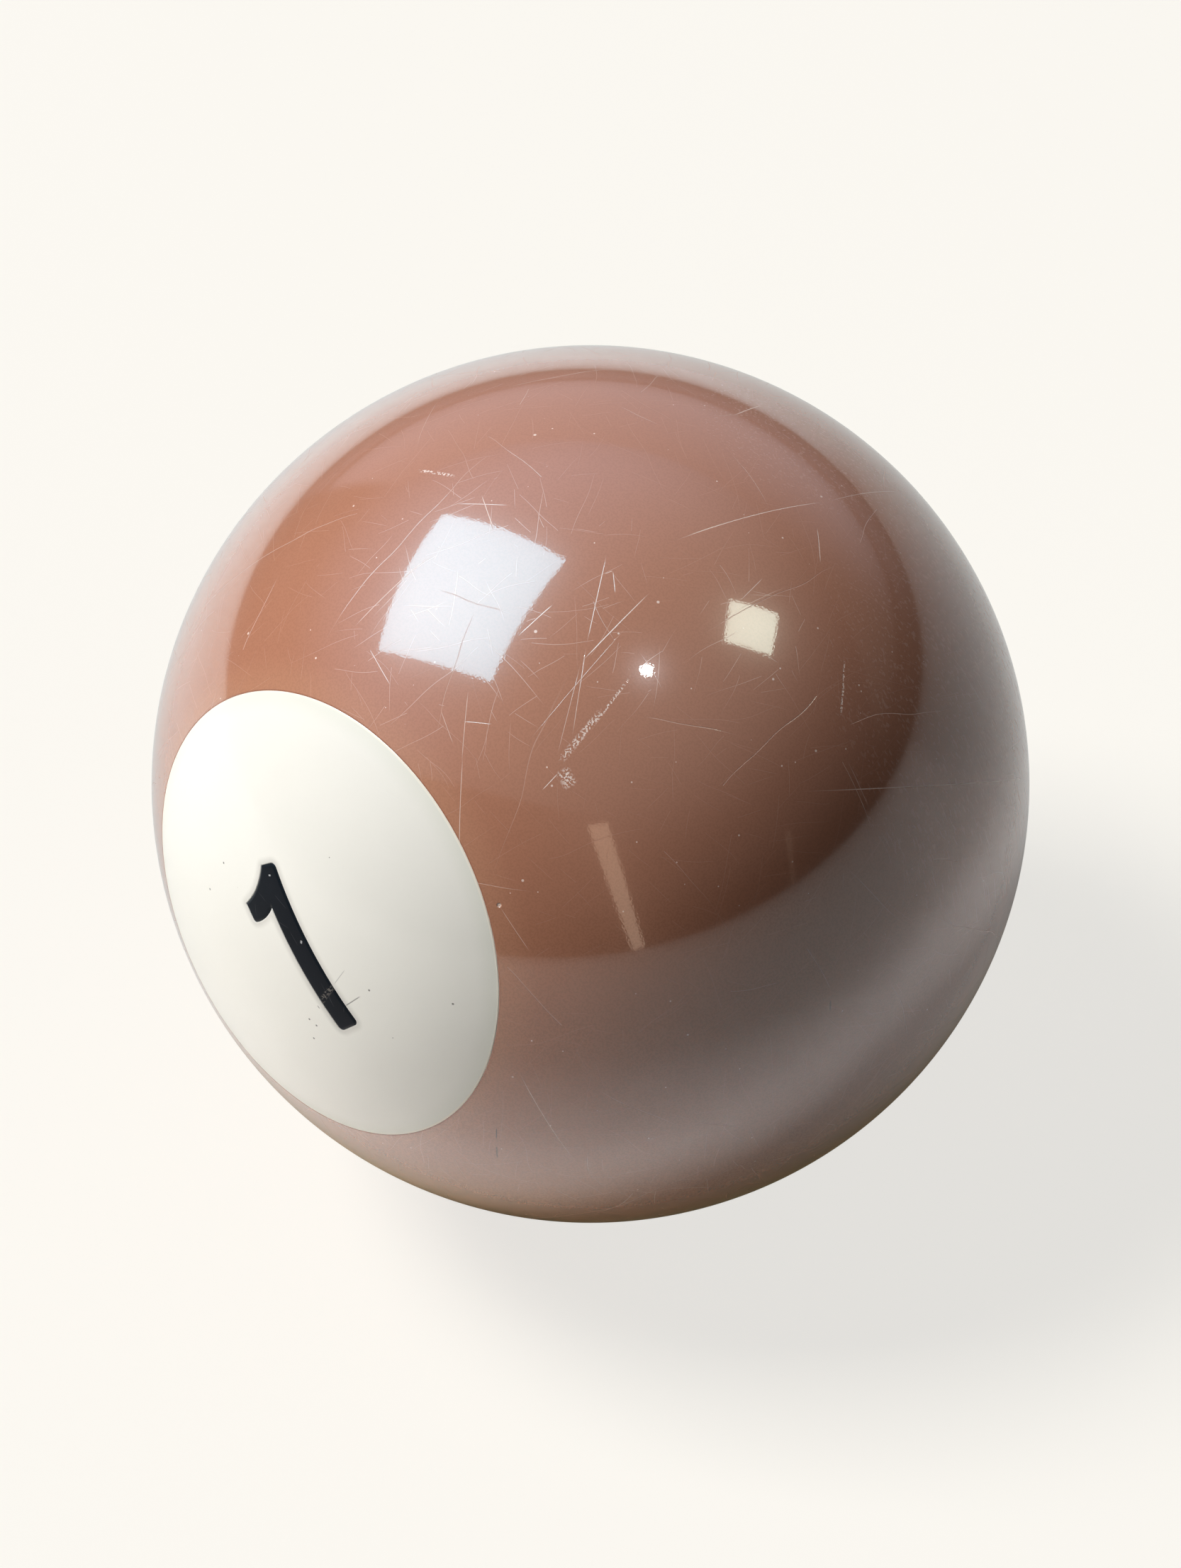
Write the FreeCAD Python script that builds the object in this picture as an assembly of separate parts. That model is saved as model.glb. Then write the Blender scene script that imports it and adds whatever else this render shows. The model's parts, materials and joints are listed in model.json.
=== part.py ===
import FreeCAD, Part

import math
import os

# A numbered pool ball of solid cast resin: a coloured body with two pockets, an ivory
# number plug in each pocket, and a black numeral set into each plug.
#
# Row frame, in millimetres: the origin is the ball's centre and +Z is up. The ball lies
# as it was put down, so the front number's axis leans up from -Y in the YZ plane, and
# the back number is exactly opposite.

# Driving dimensions
BALL_DIAMETER = 57.15        # 2 1/4 in
DISC_DIAMETER = 29.5         # across the number disc's rim, measured straight
PLUG_DEPTH = 6.5             # from the top of the plug's dome to its flat bottom
PLUG_FLANK_ANGLE = 30.0      # degrees that the flank leans out below the surface
NUMERAL_DEPTH = 2.5          # how far the numeral goes in below the plug's dome
NUMERAL_PROUD = 0.05         # how far the numeral's face stands above the ball

# How the ball lies
NUMBER_AXIS_LIFT = 16.5      # degrees from -Y up to the front number's axis
NUMERAL_ROLL = 42.3          # degrees that the numeral leans left, seen from outside

# The numeral, seen from outside: +X to its right, +Y to its top, (0, 0) on the axis
STEM_LEFT = 0.50
STEM_RIGHT = 2.24
FOOT = -6.84
HEAD = 4.54
HEAD_LEFT = 1.00             # where the flag's upper edge leaves the head
HEAD_DROP = 0.15             # how much lower the head is at its right corner
FLAG_LEFT = -1.77
FLAG_TOP = 2.81
FLAG_BOTTOM = 1.50
FLAG_UNDERCUT = 0.10         # how far the flag's end leans in at its lower corner
ARMPIT = 1.88                # height where the flag's lower edge meets the stem
FLAG_UPPER_SAG = 0.33        # how far the flag's upper edge curves in
FLAG_LOWER_BULGE = 0.22      # how far the flag's lower edge curves out
HEAD_CORNER_RADIUS = 0.42
FLAG_CORNER_RADIUS = 0.25
FOOT_CORNER_RADIUS = 0.32

ORIGIN = FreeCAD.Vector(0, 0, 0)
X_AXIS = FreeCAD.Vector(1, 0, 0)
Y_AXIS = FreeCAD.Vector(0, 1, 0)
Z_AXIS = FreeCAD.Vector(0, 0, 1)

ball_radius = BALL_DIAMETER / 2
rim_radius = DISC_DIAMETER / 2
rim_height = math.sqrt(ball_radius**2 - rim_radius**2)
plug_floor_height = ball_radius - PLUG_DEPTH
flank_slope = math.tan(math.radians(PLUG_FLANK_ANGLE))
outside_height = ball_radius + 1.0


def plug_blank():
    """The flared blank that cuts the pocket: its flank meets the ball at the disc's rim."""
    floor_radius = rim_radius + (rim_height - plug_floor_height) * flank_slope
    top_radius = rim_radius - (outside_height - rim_height) * flank_slope
    height = outside_height - plug_floor_height
    base = FreeCAD.Vector(0, 0, plug_floor_height)
    return Part.makeCone(floor_radius, top_radius, height, base, Z_AXIS)


def bowed_edge(start, end, bow):
    """An arc from start to end whose middle stands bow to the right of the straight line."""
    along = end.sub(start)
    right = FreeCAD.Vector(along.y, -along.x, 0).normalize()
    middle = start.add(end).multiply(0.5).add(right.multiply(bow))
    return Part.Arc(start, middle, end).toShape()


def numeral_outline():
    """The closed wire of the numeral in the XY plane, anticlockwise from the foot's left corner."""
    foot_left = FreeCAD.Vector(STEM_LEFT, FOOT, 0)
    foot_right = FreeCAD.Vector(STEM_RIGHT, FOOT, 0)
    head_right = FreeCAD.Vector(STEM_RIGHT, HEAD - HEAD_DROP, 0)
    head_left = FreeCAD.Vector(HEAD_LEFT, HEAD, 0)
    flag_top = FreeCAD.Vector(FLAG_LEFT, FLAG_TOP, 0)
    flag_bottom = FreeCAD.Vector(FLAG_LEFT + FLAG_UNDERCUT, FLAG_BOTTOM, 0)
    armpit = FreeCAD.Vector(STEM_LEFT, ARMPIT, 0)
    edges = [
        Part.makeLine(foot_left, foot_right),
        Part.makeLine(foot_right, head_right),
        Part.makeLine(head_right, head_left),
        bowed_edge(head_left, flag_top, -FLAG_UPPER_SAG),
        Part.makeLine(flag_top, flag_bottom),
        bowed_edge(flag_bottom, armpit, FLAG_LOWER_BULGE),
        Part.makeLine(armpit, foot_left),
    ]
    return Part.Wire(edges)


def corner_edges(prism, x, y):
    """The prism's upright edges that stand over the outline's corner at (x, y)."""
    found = []
    for edge in prism.Edges:
        ends = [vertex.Point for vertex in edge.Vertexes]
        if all(math.hypot(end.x - x, end.y - y) < 1e-3 for end in ends):
            found.append(edge)
    return found


def numeral_prism():
    """The numeral's outline drawn out along the number axis, with its corners rounded."""
    floor = ball_radius - NUMERAL_DEPTH
    outline = numeral_outline()
    outline.translate(FreeCAD.Vector(0, 0, floor))
    prism = Part.Face(outline).extrude(FreeCAD.Vector(0, 0, outside_height - floor))
    corners = [
        (STEM_LEFT, FOOT, FOOT_CORNER_RADIUS),
        (STEM_RIGHT, FOOT, FOOT_CORNER_RADIUS),
        (STEM_RIGHT, HEAD - HEAD_DROP, HEAD_CORNER_RADIUS),
        (FLAG_LEFT + FLAG_UNDERCUT, FLAG_BOTTOM, FLAG_CORNER_RADIUS),
    ]
    for x, y, radius in corners:
        prism = prism.makeFillet(radius, corner_edges(prism, x, y))
    return prism


def number_plug(blank, prism):
    """The ivory plug: domed flush with the ball, with a pocket for the numeral."""
    ball = Part.makeSphere(ball_radius)
    return ball.common(blank).cut(prism)


def numeral(prism):
    """The black inlay, which fills its pocket and stands slightly proud of the dome."""
    return Part.makeSphere(ball_radius + NUMERAL_PROUD).common(prism)


def turned_to_back(shape):
    """A copy on the far side of the ball, turned about the numeral's own upright axis."""
    copy = shape.copy()
    copy.rotate(ORIGIN, Y_AXIS, 180)
    return copy


def laid_down(shape):
    """A copy turned from the number's own axes to the way the ball lies."""
    copy = shape.copy()
    copy.rotate(ORIGIN, Z_AXIS, NUMERAL_ROLL)
    copy.rotate(ORIGIN, X_AXIS, 90 - NUMBER_AXIS_LIFT)
    return copy


def only_solid(shape, name):
    """The one solid in shape, checked to be closed and valid."""
    if len(shape.Solids) != 1:
        raise ValueError(f"{name} has {len(shape.Solids)} solids")
    solid = shape.Solids[0]
    if not solid.isValid():
        raise ValueError(f"{name} isn't valid")
    return solid


def build():
    """Every node of the ball by name, in the row frame."""
    blank = plug_blank()
    prism = numeral_prism()
    plug = number_plug(blank, prism)
    inlay = numeral(prism)
    body = Part.makeSphere(ball_radius).cut(blank).cut(turned_to_back(blank))
    shapes = {
        "ball_body": body,
        "number_disc_front": plug,
        "number_disc_back": turned_to_back(plug),
        "numeral_front": inlay,
        "numeral_back": turned_to_back(inlay),
    }
    return {name: only_solid(laid_down(shape), name) for name, shape in shapes.items()}


os.makedirs("parts", exist_ok=True)
for name, solid in build().items():
    solid.exportStep(os.path.join("parts", name + ".step"))
    print(f"{name}: {solid.Volume:.1f} mm3")
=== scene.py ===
import json
import math

import bpy
import numpy as np
from mathutils import Matrix, Vector
from mathutils.geometry import delaunay_2d_cdt


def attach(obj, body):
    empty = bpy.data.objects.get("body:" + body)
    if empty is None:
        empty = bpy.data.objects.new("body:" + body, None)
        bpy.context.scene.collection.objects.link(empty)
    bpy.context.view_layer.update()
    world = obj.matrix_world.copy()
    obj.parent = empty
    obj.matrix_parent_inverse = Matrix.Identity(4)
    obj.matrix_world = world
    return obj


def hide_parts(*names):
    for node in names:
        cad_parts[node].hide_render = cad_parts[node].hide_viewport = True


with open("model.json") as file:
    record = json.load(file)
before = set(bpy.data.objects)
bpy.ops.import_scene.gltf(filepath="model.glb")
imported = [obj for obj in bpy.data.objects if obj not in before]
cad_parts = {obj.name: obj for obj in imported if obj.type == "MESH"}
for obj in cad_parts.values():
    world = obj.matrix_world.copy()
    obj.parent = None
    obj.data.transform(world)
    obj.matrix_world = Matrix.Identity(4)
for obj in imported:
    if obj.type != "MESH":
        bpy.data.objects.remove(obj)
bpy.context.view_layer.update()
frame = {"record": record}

# ----------------------------------------
# Sizes, in metres. The ball's radius comes from the frame; the rest repeats the
# design's own driving dimensions.
# ----------------------------------------
MM = 0.001
RADIUS = -frame["record"]["mounts"][0]["pos_m"][2]
RIM_RADIUS = 14.75 * MM
RIM_ANGLE = math.asin(RIM_RADIUS / RADIUS)
RIM_HEIGHT = RADIUS * math.cos(RIM_ANGLE)
PLUG_FLOOR = RADIUS - 6.5 * MM
FLANK_SLOPE = math.tan(math.radians(30.0))
PLUG_FLOOR_RADIUS = RIM_RADIUS + (RIM_HEIGHT - PLUG_FLOOR) * FLANK_SLOPE
NUMERAL_FLOOR = RADIUS - 2.5 * MM
NUMERAL_PROUD = 0.05 * MM
NUMBER_AXIS_LIFT = math.radians(16.5)
NUMERAL_ROLL = math.radians(42.3)

# Edges that a knife or a fingernail would feel
RIM_LIP = 0.07 * MM          # rounding of the body and the plug where they meet
RIM_SEAM_DEPTH = 0.025 * MM
NUMERAL_LIP = 0.07 * MM      # rounding of the plug's pocket
NUMERAL_SEAM_DEPTH = 0.04 * MM
NUMERAL_BEVEL = 0.22 * MM    # how far in the numeral's edge is rounded

# From the number's own axes (+Z out of the number, +Y to the numeral's top) to the row
LAID_DOWN = (
    Matrix.Rotation(math.pi / 2 - NUMBER_AXIS_LIFT, 3, "X")
    @ Matrix.Rotation(NUMERAL_ROLL, 3, "Z")
)
TURNED_TO_BACK = LAID_DOWN @ Matrix.Rotation(math.pi, 3, "Y")


# ----------------------------------------
# Camera
# ----------------------------------------
CAMERA_AZIMUTH = math.radians(48.1)
CAMERA_ELEVATION = math.radians(43.2)
CAMERA_ROLL = math.radians(8.4)
CAMERA_DISTANCE = 12.0 * RADIUS
LENS = 120.5


def make_camera():
    data = bpy.data.cameras.new("camera")
    data.lens = LENS
    data.sensor_width = 36.0
    data.clip_start = 0.01
    data.clip_end = 100.0
    camera = bpy.data.objects.new("camera", data)
    bpy.context.scene.collection.objects.link(camera)
    level = math.cos(CAMERA_ELEVATION)
    away = Vector((
        math.sin(CAMERA_AZIMUTH) * level,
        -math.cos(CAMERA_AZIMUTH) * level,
        math.sin(CAMERA_ELEVATION),
    ))
    turn = (-away).to_track_quat("-Z", "Y").to_matrix().to_4x4()
    camera.matrix_world = (
        Matrix.Translation(away * CAMERA_DISTANCE) @ turn @ Matrix.Rotation(-CAMERA_ROLL, 4, "Z")
    )
    bpy.context.scene.camera = camera
    return camera


# ----------------------------------------
# Mesh helpers
# ----------------------------------------
def new_piece(name, points, faces, normals, axes, material):
    """A mesh object in the row frame. points and normals are given on axes; normals holds a unit
    vector for each point, or None for a flat-shaded one."""
    mesh = bpy.data.meshes.new(name)
    mesh.from_pydata([axes @ Vector(p) for p in points], [], faces)
    normals = [normal and axes @ Vector(normal) for normal in normals]
    mesh.polygons.foreach_set("use_smooth", [True] * len(mesh.polygons))
    loop_normals = []
    for polygon in mesh.polygons:
        flat = tuple(polygon.normal)
        known = all(normals[i] is not None for i in polygon.vertices)
        for i in polygon.vertices:
            loop_normals.append(tuple(normals[i]) if known else flat)
    mesh.normals_split_custom_set(loop_normals)
    mesh.materials.append(material)
    piece = bpy.data.objects.new(name, mesh)
    bpy.context.scene.collection.objects.link(piece)
    return piece


def revolve(profile, around):
    """Points, faces and normals of a closed profile turned about Z. Each profile entry is
    (r, z, normal or None); an entry with r of 0 is one point."""
    points, normals, rings = [], [], []
    for r, z, normal in profile:
        count = 1 if r == 0 else around
        rings.append((len(points), count))
        for k in range(count):
            turn = 2 * math.pi * k / around
            points.append((r * math.cos(turn), r * math.sin(turn), z))
            if normal is None:
                normals.append(None)
            else:
                normals.append((normal[0] * math.cos(turn), normal[0] * math.sin(turn), normal[1]))
    faces = []
    for (start, count), (after, after_count) in zip(rings, rings[1:]):
        for k in range(around):
            n = (k + 1) % around
            if count == 1 and after_count == 1:
                continue
            if count == 1:
                faces.append((start, after + k, after + n))
            elif after_count == 1:
                faces.append((start + k, after, start + n))
            else:
                faces.append((start + k, after + k, after + n, start + n))
    return points, faces, normals


def dome_point(radius, angle):
    """(r, z, normal) on a sphere at that angle from Z."""
    return radius * math.sin(angle), radius * math.cos(angle), (math.sin(angle), math.cos(angle))


def lip(offset, width, depth):
    """Height and slope of a rounded edge, at that distance from it: -depth at 0, and 0 from width on."""
    t = min(max(offset / width, 0.0), 1.0)
    return -depth * (1 - t) ** 2, 2 * depth * (1 - t) / width


# ----------------------------------------
# The body: a sphere with a flared pocket at each end of the number axis
# ----------------------------------------
BODY_AROUND = 360
BODY_ROWS = 150
LIP_ROWS = 4


def body_profile():
    """From the front pocket's middle, over the sphere, to the back pocket's middle."""
    front = [(0, PLUG_FLOOR, None), (PLUG_FLOOR_RADIUS, PLUG_FLOOR, None)]
    for row in range(LIP_ROWS + 1):
        offset = RIM_LIP * row / LIP_ROWS
        height, slope = lip(offset, RIM_LIP, RIM_SEAM_DEPTH)
        r, z, (out, up) = dome_point(RADIUS + height, RIM_ANGLE + offset / RADIUS)
        tipped = Vector((out - slope * up, up + slope * out)).normalized()
        front.append((r, z, tuple(tipped)))
    start = RIM_ANGLE + RIM_LIP / RADIUS
    side = [
        dome_point(RADIUS, start + (math.pi - 2 * start) * row / BODY_ROWS)
        for row in range(1, BODY_ROWS)
    ]
    back = [(r, -z, normal and (normal[0], -normal[1])) for r, z, normal in reversed(front)]
    return front + side + back


# ----------------------------------------
# The numeral's outline, in millimetres on the number's own axes
# ----------------------------------------
STEM_LEFT, STEM_RIGHT = 0.50, 2.24
FOOT, HEAD, HEAD_LEFT, HEAD_DROP = -6.84, 4.54, 1.00, 0.15
FLAG_LEFT, FLAG_TOP, FLAG_BOTTOM, FLAG_UNDERCUT = -1.77, 2.81, 1.50, 0.10
ARMPIT = 1.88
FLAG_UPPER_SAG, FLAG_LOWER_BULGE = 0.33, 0.22
FOOT_CORNER_RADIUS, HEAD_CORNER_RADIUS, FLAG_CORNER_RADIUS = 0.32, 0.42, 0.25
OUTLINE_STEP = 0.12


def bowed(start, end, bow):
    """Points from start up to, not at, end, along an arc whose middle stands bow to the right of
    the line."""
    start, end = Vector(start), Vector(end)
    along = end - start
    steps = max(2, round(along.length / OUTLINE_STEP))
    right = Vector((along.y, -along.x)).normalized()
    points = []
    for k in range(steps):
        t = k / steps
        points.append(start + along * t + right * bow * 4 * t * (1 - t))
    return points


def rounded(before, corner, after, radius):
    """Points along the fillet of that radius in a corner, with its two ends."""
    corner = Vector(corner)
    to_before = (Vector(before) - corner).normalized()
    to_after = (Vector(after) - corner).normalized()
    half = to_before.angle(to_after) / 2
    reach = radius / math.tan(half)
    centre = corner + (to_before + to_after).normalized() * radius / math.sin(half)
    start = corner + to_before * reach - centre
    sweep = start.angle_signed(corner + to_after * reach - centre)
    steps = max(3, round(abs(sweep) * radius / (OUTLINE_STEP / 2)))
    points = []
    for k in range(steps + 1):
        turn = Matrix.Rotation(-sweep * k / steps, 2)
        points.append(centre + turn @ start)
    return points


def numeral_outline():
    """The closed outline, anticlockwise, as an array of points in millimetres."""
    foot_left, foot_right = (STEM_LEFT, FOOT), (STEM_RIGHT, FOOT)
    head_right, head_left = (STEM_RIGHT, HEAD - HEAD_DROP), (HEAD_LEFT, HEAD)
    flag_top = (FLAG_LEFT, FLAG_TOP)
    flag_bottom = (FLAG_LEFT + FLAG_UNDERCUT, FLAG_BOTTOM)
    armpit = (STEM_LEFT, ARMPIT)
    under_flag = bowed(flag_bottom, armpit, FLAG_LOWER_BULGE)
    foot_left_round = rounded(armpit, foot_left, foot_right, FOOT_CORNER_RADIUS)
    foot_right_round = rounded(foot_left, foot_right, head_right, FOOT_CORNER_RADIUS)
    head_right_round = rounded(foot_right, head_right, head_left, HEAD_CORNER_RADIUS)
    flag_round = rounded(flag_top, flag_bottom, under_flag[3], FLAG_CORNER_RADIUS)
    points = [*foot_left_round, *bowed(foot_left_round[-1], foot_right_round[0], 0)[1:]]
    points += [*foot_right_round, *bowed(foot_right_round[-1], head_right_round[0], 0)[1:]]
    points += [*head_right_round, *bowed(head_right_round[-1], head_left, 0)[1:]]
    points += bowed(head_left, flag_top, -FLAG_UPPER_SAG)
    points += [*bowed(flag_top, flag_round[0], 0), *flag_round]
    points += [p for p in under_flag if p.x > flag_round[-1].x + OUTLINE_STEP / 2]
    points += bowed(armpit, foot_left_round[0], 0)
    return np.array([tuple(p) for p in points])


def outline_normals(outline):
    """The outward direction at each point, long enough that a ring moved along it keeps its distance."""
    ahead = np.roll(outline, -1, axis=0) - outline
    ahead /= np.linalg.norm(ahead, axis=1)[:, None]
    out_ahead = np.stack([ahead[:, 1], -ahead[:, 0]], axis=1)
    out_behind = np.roll(out_ahead, 1, axis=0)
    middle = out_ahead + out_behind
    middle /= np.linalg.norm(middle, axis=1)[:, None]
    return middle / np.sum(middle * out_ahead, axis=1)[:, None]


def distance_to(outline, places):
    """The distance from each place to the closed outline."""
    nearest = np.full(len(places), 1e9)
    for start, end in zip(outline, np.roll(outline, -1, axis=0)):
        along = end - start
        share = np.clip((places - start) @ along / (along @ along), 0, 1)
        gaps = np.linalg.norm(places - start - share[:, None] * along, axis=1)
        nearest = np.minimum(nearest, gaps)
    return nearest


def within(outline, places):
    """Whether each place is inside the closed outline."""
    inside = np.zeros(len(places), bool)
    for (x1, y1), (x2, y2) in zip(outline, np.roll(outline, -1, axis=0)):
        if y1 == y2:
            continue
        crosses = (y1 > places[:, 1]) != (y2 > places[:, 1])
        inside ^= crosses & (places[:, 0] < x1 + (places[:, 1] - y1) * (x2 - x1) / (y2 - y1))
    return inside


def triangulated(rings, filling):
    """Flat places in millimetres, triangles over them, and each closed ring's place numbers."""
    given = [Vector(p) for ring in rings for p in ring] + [Vector(p) for p in filling]
    edges, loops, start = [], [], 0
    for ring in rings:
        count = len(ring)
        edges += [(start + k, start + (k + 1) % count) for k in range(count)]
        loops.append(range(start, start + count))
        start += count
    places, _, faces, sources, _, _ = delaunay_2d_cdt(given, edges, [], 0, 1e-7)
    number = {old: new for new, olds in enumerate(sources) for old in olds}
    loops = [[number[k] for k in loop] for loop in loops]
    return np.array([tuple(p) for p in places]), [tuple(face) for face in faces], loops


def face_centres(places, faces):
    return np.array([places[list(face)].mean(axis=0) for face in faces])


def on_dome(places, heights, tips):
    """Points in metres over flat places in millimetres, heights above the ball, and their normals.
    tips holds the way that the surface falls at each place, times its slope."""
    flat = places * MM
    up = np.sqrt(RADIUS**2 - np.sum(flat**2, axis=1))
    radial = np.column_stack([flat, up]) / RADIUS
    points = radial * (RADIUS + heights)[:, None]
    normals = radial + np.column_stack([tips, np.zeros(len(tips))])
    normals /= np.linalg.norm(normals, axis=1)[:, None]
    return [tuple(p) for p in points], [tuple(n) for n in normals]


def add_wall(points, faces, normals, loop, lower, solid_inside):
    """Adds a wall from a loop of point numbers, anticlockwise, down to its lower points, and the flat
    face across them."""
    first, count = len(points), len(loop)
    points.extend(lower)
    normals.extend([None] * count)
    for k in range(count):
        after = (k + 1) % count
        quad = (loop[k], first + k, first + after, loop[after])
        faces.append(quad if solid_inside else quad[::-1])
    bottom = tuple(range(first, first + count))
    faces.append(bottom[::-1] if solid_inside else bottom)


def set_distance(piece, name, distances):
    """Stores a distance in millimetres for each point; the points past the list are far away."""
    values = np.full(len(piece.data.vertices), 9.0, np.float32)
    values[: len(distances)] = distances
    piece.data.attributes.new(name, "FLOAT", "POINT").data.foreach_set("value", values)


# ----------------------------------------
# The numeral: an inlay with a rounded edge that stands a hair above its plug
# ----------------------------------------
BEVEL_STEPS = (0.0, 0.12, 0.26, 0.42, 0.62, 0.82, 1.0)
NUMERAL_SPACING = 0.16


def bevel(step):
    """Height above the ball and slope of the numeral's edge, at that share of the bevel's width."""
    rise = NUMERAL_PROUD + NUMERAL_SEAM_DEPTH
    return NUMERAL_PROUD - rise * (1 - step) ** 2, 2 * rise * (1 - step) / NUMERAL_BEVEL


def triangular_grid(low, high, spacing):
    """Points of a triangular grid over a box, in millimetres."""
    points = []
    for row, y in enumerate(np.arange(low[1], high[1], spacing * math.sqrt(0.75))):
        shift = spacing / 2 * (row % 2)
        points += [(x + shift, y) for x in np.arange(low[0], high[0], spacing)]
    return np.array(points)


def make_numeral(name, axes, material):
    outline = numeral_outline()
    outward = outline_normals(outline)
    width = NUMERAL_BEVEL / MM
    rings = [outline - outward * width * step for step in BEVEL_STEPS]
    filling = triangular_grid(outline.min(axis=0), outline.max(axis=0), NUMERAL_SPACING)
    deep = within(outline, filling) & (distance_to(outline, filling) > width + NUMERAL_SPACING / 2)
    places, faces, loops = triangulated(rings, filling[deep])
    faces = [f for f, keep in zip(faces, within(outline, face_centres(places, faces))) if keep]
    heights = np.full(len(places), NUMERAL_PROUD)
    tips = np.zeros((len(places), 2))
    for loop, step in zip(loops, BEVEL_STEPS):
        height, slope = bevel(step)
        heights[loop] = height
        tips[loop] = outward / np.linalg.norm(outward, axis=1)[:, None] * slope
    points, normals = on_dome(places, heights, tips)
    lower = [(points[i][0], points[i][1], NUMERAL_FLOOR) for i in loops[0]]
    add_wall(points, faces, normals, loops[0], lower, True)
    piece = new_piece(name, points, faces, normals, axes, material)
    set_distance(piece, "edge_mm", distance_to(outline, places))
    return piece


# ----------------------------------------
# The number disc: a domed plug with a pocket for the numeral
# ----------------------------------------
DISC_SPACING = 0.3
LIP_STEPS = (0.0, 0.25, 0.5, 0.75, 1.0)


def disc_filling(outline, widest):
    """Rings of points over the disc, clear of the numeral's pocket."""
    points = [(0.0, 0.0)]
    for radius in np.arange(DISC_SPACING, widest, DISC_SPACING):
        count = round(2 * math.pi * radius / DISC_SPACING)
        turns = 2 * math.pi * (np.arange(count) + 0.37 * radius) / count
        points += list(zip(radius * np.cos(turns), radius * np.sin(turns)))
    points = np.array(points)
    clear = ~within(outline, points) & (distance_to(outline, points) > 0.6 * DISC_SPACING)
    return points[clear]


def make_disc(name, axes, material):
    outline = numeral_outline()
    outward = outline_normals(outline)
    turns = 2 * math.pi * np.arange(BODY_AROUND) / BODY_AROUND
    around = np.column_stack([np.cos(turns), np.sin(turns)])
    pocket_rings = [outline + outward * step * NUMERAL_LIP / MM for step in LIP_STEPS]
    rim_angles = [RIM_ANGLE - step * RIM_LIP / RADIUS for step in LIP_STEPS]
    rim_rings = [around * RADIUS * math.sin(angle) / MM for angle in rim_angles]
    filling = disc_filling(outline, RIM_RADIUS / MM - 0.7 * DISC_SPACING)
    places, faces, loops = triangulated(pocket_rings + rim_rings, filling)
    faces = [f for f, drop in zip(faces, within(outline, face_centres(places, faces))) if not drop]
    heights = np.zeros(len(places))
    tips = np.zeros((len(places), 2))
    inward = -outward / np.linalg.norm(outward, axis=1)[:, None]
    for k, step in enumerate(LIP_STEPS):
        height, slope = lip(step * NUMERAL_LIP, NUMERAL_LIP, NUMERAL_SEAM_DEPTH)
        heights[loops[k]] = height
        tips[loops[k]] = inward * slope
        height, slope = lip(step * RIM_LIP, RIM_LIP, RIM_SEAM_DEPTH)
        heights[loops[len(LIP_STEPS) + k]] = height
        tips[loops[len(LIP_STEPS) + k]] = around * slope
    points, normals = on_dome(places, heights, tips)
    pocket, rim = loops[0], loops[len(LIP_STEPS)]
    pocket_floor = [(points[i][0], points[i][1], NUMERAL_FLOOR) for i in pocket]
    plug_floor = [(x * PLUG_FLOOR_RADIUS, y * PLUG_FLOOR_RADIUS, PLUG_FLOOR) for x, y in around]
    add_wall(points, faces, normals, pocket, pocket_floor, False)
    add_wall(points, faces, normals, rim, plug_floor, True)
    piece = new_piece(name, points, faces, normals, axes, material)
    set_distance(piece, "gap_mm", distance_to(outline, places))
    return piece


# ----------------------------------------
# Node graphs
# ----------------------------------------
class Graph:
    """Builds a node tree. A socket given as a value is linked, and anything else is set on the input."""

    def __init__(self, tree):
        self.nodes, self.links = tree.nodes, tree.links
        self.nodes.clear()

    def node(self, kind, inputs=(), **settings):
        node = self.nodes.new(kind)
        for name, value in settings.items():
            setattr(node, name, value)
        for key, value in dict(inputs).items():
            if isinstance(value, bpy.types.NodeSocket):
                self.links.new(value, node.inputs[key])
            elif value is not None:
                node.inputs[key].default_value = value
        return node

    def math(self, operation, a, b=None, c=None):
        return self.node("ShaderNodeMath", {0: a, 1: b, 2: c}, operation=operation).outputs[0]

    def vector(self, operation, a, b=None, scale=None):
        inputs = {0: a, 1: b}
        if scale is not None:
            inputs["Scale"] = scale
        node = self.node("ShaderNodeVectorMath", inputs, operation=operation)
        gives_number = operation in ("DOT_PRODUCT", "LENGTH", "DISTANCE")
        return node.outputs["Value" if gives_number else "Vector"]

    def fade(self, value, start, end, low=0.0, high=1.0):
        """low until start, high from end, and smooth between."""
        inputs = {"Value": value, "From Min": start, "From Max": end, "To Min": low, "To Max": high}
        return self.node("ShaderNodeMapRange", inputs, interpolation_type="SMOOTHSTEP").outputs["Result"]

    def mix(self, share, a, b, blend="MIX"):
        node = self.node("ShaderNodeMix", data_type="RGBA", blend_type=blend)
        for socket, value in (("Factor_Float", share), ("A_Color", a), ("B_Color", b)):
            target = next(s for s in node.inputs if s.identifier == socket)
            if isinstance(value, bpy.types.NodeSocket):
                self.links.new(value, target)
            else:
                target.default_value = value
        return next(s for s in node.outputs if s.identifier == "Result_Color")

    def noise(self, place, size, detail=2.0, roughness=0.5):
        """Noise around 0.5 whose features are about that many millimetres across."""
        inputs = {"Vector": place, "Scale": 1.0 / size, "Detail": detail, "Roughness": roughness}
        return self.node("ShaderNodeTexNoise", inputs)

    def largest(self, masks):
        """The largest of several values."""
        masks = iter(masks)
        total = next(masks)
        for mask in masks:
            total = self.math("MAXIMUM", total, mask)
        return total


def colour(red, green, blue):
    return (red, green, blue, 1.0)


def row_place(graph):
    """The point in the row frame, in millimetres."""
    coordinates = graph.node("ShaderNodeTexCoord").outputs["Object"]
    return graph.vector("SCALE", coordinates, scale=1 / MM)


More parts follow.
